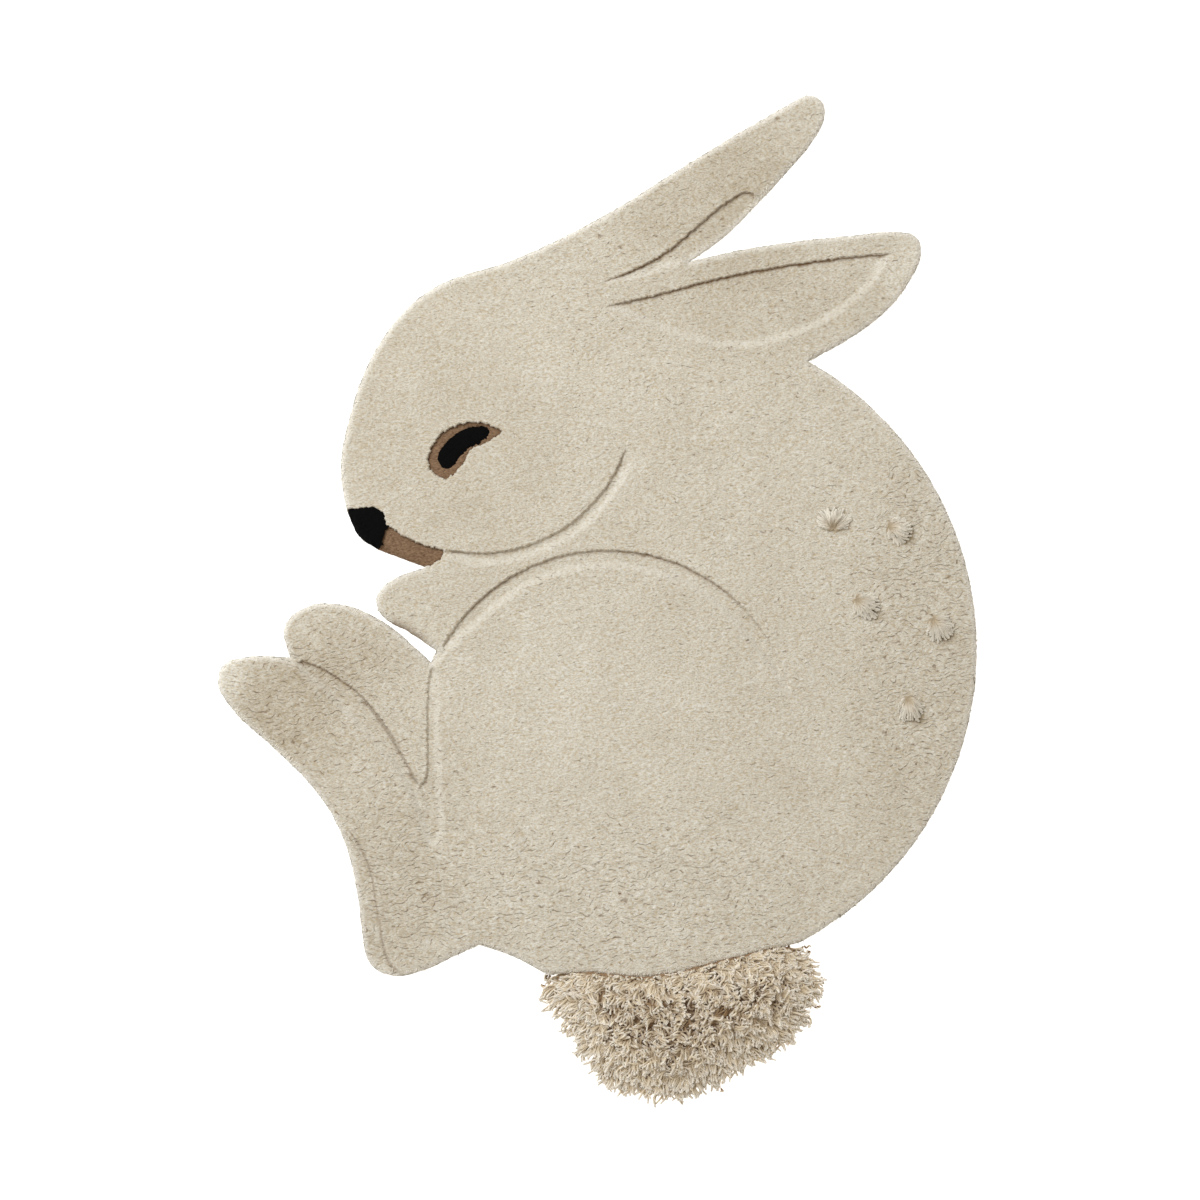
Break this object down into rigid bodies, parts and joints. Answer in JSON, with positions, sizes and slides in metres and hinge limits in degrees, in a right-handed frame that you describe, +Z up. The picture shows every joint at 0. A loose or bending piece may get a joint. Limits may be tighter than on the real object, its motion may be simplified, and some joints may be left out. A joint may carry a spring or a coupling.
{
  "type": "rabbit shaped rug",
  "caption": "Rabbit shaped cut pile rug for a child's room, lying flat, with carved lines, dark nose, muzzle and eye, a long shag tail and small yarn tufts on its back.",
  "frame": {"origin": "on the underside, below the middle of the rug's plan", "axes": "+Z up out of the pile, +Y from the tail to the ear tips, +X from the nose to the back"},
  "size_m": [1.0092, 1.3456, 0.0334],
  "materials": {
    "cream_wool": "dense cut wool pile, dull and velvety",
    "shag_wool": "long loose wool yarn, matt",
    "brown_wool": "cut wool pile, matt",
    "black_wool": "cut wool pile, matt"
  },
  "bodies": {
    "root": {"rug_body": "cream_wool", "shag_tail": "shag_wool", "back_tuft_1": "cream_wool", "back_tuft_2": "cream_wool", "back_tuft_3": "cream_wool", "back_tuft_4": "cream_wool", "back_tuft_5": "cream_wool", "nose_inlay": "black_wool", "eye_pupil_inlay": "black_wool", "muzzle_inlay": "brown_wool", "eye_rim_inlay": "brown_wool"}
  },
  "joints": []
}
